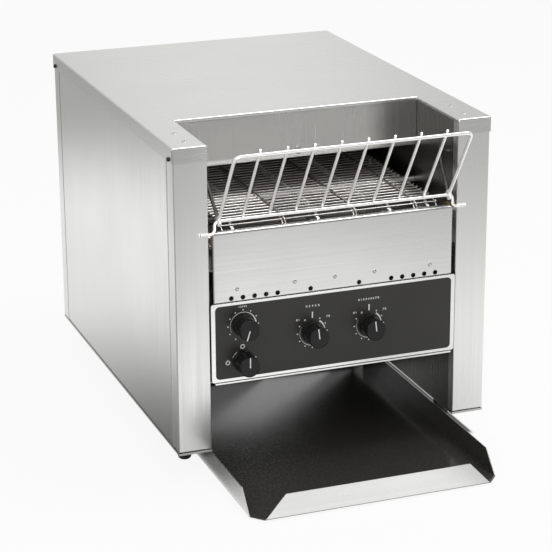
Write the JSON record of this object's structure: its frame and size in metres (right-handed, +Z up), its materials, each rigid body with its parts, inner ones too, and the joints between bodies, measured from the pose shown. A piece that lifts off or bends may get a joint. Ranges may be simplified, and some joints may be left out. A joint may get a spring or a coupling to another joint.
{
  "type": "conveyor toaster",
  "caption": "Counter-top conveyor toaster: a sloping wire rack feeds bread to a wire belt between heating elements, and toast slides down a rear chute into a front tray.",
  "frame": {"origin": "middle of the whole toaster's footprint, from the tray's front lip to the cord gland, on the counter", "axes": "+Z up, +Y to the back, +X to the right as seen from the front, where the knobs and the tray are"},
  "size_m": [0.476, 0.8054, 0.4913],
  "materials": {
    "casing_steel": "satin brushed stainless sheet",
    "inner_steel": "satin stainless sheet, dulled by heat",
    "reflector_steel": "bright stainless sheet, slightly straw-coloured by heat",
    "tray_steel": "satin stainless sheet",
    "border_steel": "bright brushed border",
    "overlay": "dark grey printed film on a plate",
    "knob_plastic": "black moulded, semi-gloss",
    "switch_plastic": "moulded switch bodies",
    "board": "green circuit board and its parts",
    "rack_wire": "bright plated wire",
    "belt_wire": "stainless wire, heat-toned",
    "element_sheath": "oxidised metal sheath",
    "ceramic": "off-white ceramic",
    "machine_steel": "turned steel",
    "bush_metal": "sintered bronze",
    "motor_metal": "painted motor and gear case",
    "fan_plastic": "black moulded",
    "gland_plastic": "black moulded",
    "terminal_plastic": "moulded",
    "screw_steel": "plated steel",
    "dark_clip": "black",
    "rubber": "black rubber",
    "glide_plastic": "black"
  },
  "bodies": {
    "casing": {"base_pan": "casing_steel", "left_side_panel": "casing_steel", "right_side_panel": "casing_steel", "back_panel": "casing_steel", "top_cover": "casing_steel", "left_front_column": "casing_steel", "right_front_column": "casing_steel", "hopper_back_wall": "inner_steel", "left_inner_wall": "inner_steel", "right_inner_wall": "inner_steel", "front_panel": "casing_steel", "control_panel": "border_steel", "control_overlay": "overlay", "control_housing": "inner_steel", "heat_shield": "inner_steel", "top_reflector": "reflector_steel", "lower_reflector": "reflector_steel", "upper_elements": "element_sheath", "lower_elements": "element_sheath", "element_insulators": "ceramic", "shaft_bearings": "bush_metal", "belt_upper_run": "belt_wire", "belt_lower_run": "belt_wire", "belt_front_wrap": "belt_wire", "belt_rear_wrap": "belt_wire", "belt_support": "inner_steel", "drive_chain": "machine_steel", "gear_motor": "motor_metal", "rear_chute": "inner_steel", "speed_control": "switch_plastic", "power_switch": "switch_plastic", "top_heat_control": "switch_plastic", "bottom_heat_control": "switch_plastic", "control_board": "board", "fan_frame": "fan_plastic", "terminal_block": "terminal_plastic", "cord_gland": "gland_plastic", "cover_screws": "screw_steel", "back_screws": "screw_steel", "hopper_screws": "screw_steel", "panel_rivets": "screw_steel", "side_screws": "dark_clip", "rubber_feet": "rubber"},
    "rack": {"rack_frame": "rack_wire", "rack_slats": "rack_wire", "rack_hook_bar": "rack_wire"},
    "tray": {"toast_tray": "tray_steel", "tray_glides": "glide_plastic"},
    "drive": {"drive_shaft": "machine_steel", "drive_belt_wheels": "machine_steel", "shaft_chain_wheel": "machine_steel"},
    "idler": {"idler_shaft": "machine_steel", "idler_belt_wheels": "machine_steel"},
    "motor_output": {"motor_chain_wheel": "machine_steel"},
    "fan": {"fan_rotor": "fan_plastic"},
    "speed_dial": {"speed_knob": "knob_plastic"},
    "power_dial": {"power_knob": "knob_plastic"},
    "top_heat_dial": {"top_heat_knob": "knob_plastic"},
    "bottom_heat_dial": {"bottom_heat_knob": "knob_plastic"}
  },
  "joints": [
    {"name": "rack_tilt", "type": "hinge", "parent": "casing", "child": "rack", "pos_m": [0, -0.1935, 0.4262], "axis": [-1, 0, 0], "range_deg": [0, 115]},
    {"name": "tray_slide", "type": "slide", "parent": "casing", "child": "tray", "axis": [0, -1, 0], "range_m": [0, 0.3]},
    {"name": "drive_spin", "type": "hinge", "parent": "casing", "child": "drive", "pos_m": [0, 0.2778, 0.33947], "axis": [1, 0, 0], "continuous": true, "deforming": ["belt_front_wrap", "belt_rear_wrap", "drive_chain"]},
    {"name": "idler_spin", "type": "hinge", "parent": "casing", "child": "idler", "pos_m": [0, -0.2048, 0.33947], "axis": [1, 0, 0], "continuous": true},
    {"name": "motor_spin", "type": "hinge", "parent": "casing", "child": "motor_output", "pos_m": [0, 0.2778, 0.07912], "axis": [1, 0, 0], "continuous": true},
    {"name": "fan_spin", "type": "hinge", "parent": "casing", "child": "fan", "pos_m": [-0.1, 0.3677, 0.092], "axis": [0, 1, 0], "continuous": true},
    {"name": "speed_turn", "type": "hinge", "parent": "casing", "child": "speed_dial", "pos_m": [-0.1375, -0.2386, 0.221], "axis": [0, -1, 0], "range_deg": [-280, 0]},
    {"name": "power_turn", "type": "hinge", "parent": "casing", "child": "power_dial", "pos_m": [-0.1375, -0.2386, 0.168], "axis": [0, -1, 0], "range_deg": [-90, 90]},
    {"name": "top_heat_turn", "type": "hinge", "parent": "casing", "child": "top_heat_dial", "pos_m": [-0.0348, -0.2386, 0.1965], "axis": [0, -1, 0], "range_deg": [-7, 323]},
    {"name": "bottom_heat_turn", "type": "hinge", "parent": "casing", "child": "bottom_heat_dial", "pos_m": [0.051, -0.2386, 0.1965], "axis": [0, -1, 0], "range_deg": [-7, 323]}
  ],
  "couplings": [
    {"joint": "idler_spin", "follows": "drive_spin", "ratio": 1},
    {"joint": "motor_spin", "follows": "drive_spin", "ratio": 1}
  ]
}
